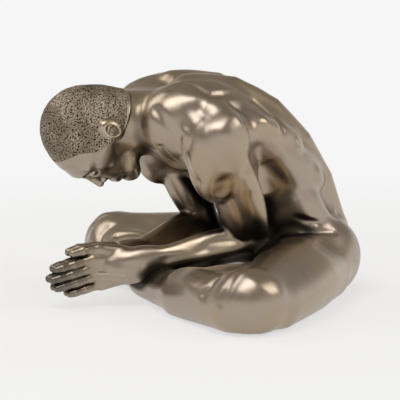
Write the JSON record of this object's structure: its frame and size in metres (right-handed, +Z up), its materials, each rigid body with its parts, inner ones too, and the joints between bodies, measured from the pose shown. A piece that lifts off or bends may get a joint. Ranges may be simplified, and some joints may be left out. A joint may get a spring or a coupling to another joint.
{
  "type": "meditating man statue",
  "caption": "Seated male figure folded forward over crossed legs with head bowed and palms pressed together, in a satin bronze finish.",
  "frame": {"origin": "middle of the figure's box in X and Y, on the surface that its felt pads rest on", "axes": "+Z up, the figure faces -Y, its left side is +X"},
  "size_m": [0.1826, 0.1446, 0.1],
  "materials": {
    "bronze": "satin cold-cast bronze, warm grey-brown, darker in the recesses, burnished on the high places",
    "steel": "plain ground steel dowel",
    "felt": "dark self-adhesive felt"
  },
  "bodies": {
    "root": {"head_casting": "bronze", "torso_casting": "bronze", "left_arm_casting": "bronze", "right_arm_casting": "bronze", "left_hand_casting": "bronze", "right_hand_casting": "bronze", "left_leg_casting": "bronze", "right_leg_casting": "bronze", "neck_dowel": "steel", "left_shoulder_dowel": "steel", "right_shoulder_dowel": "steel", "left_wrist_dowel": "steel", "right_wrist_dowel": "steel", "left_hip_dowel": "steel", "right_hip_dowel": "steel", "seat_pad": "felt", "left_leg_pad": "felt", "right_leg_pad": "felt"}
  },
  "joints": []
}
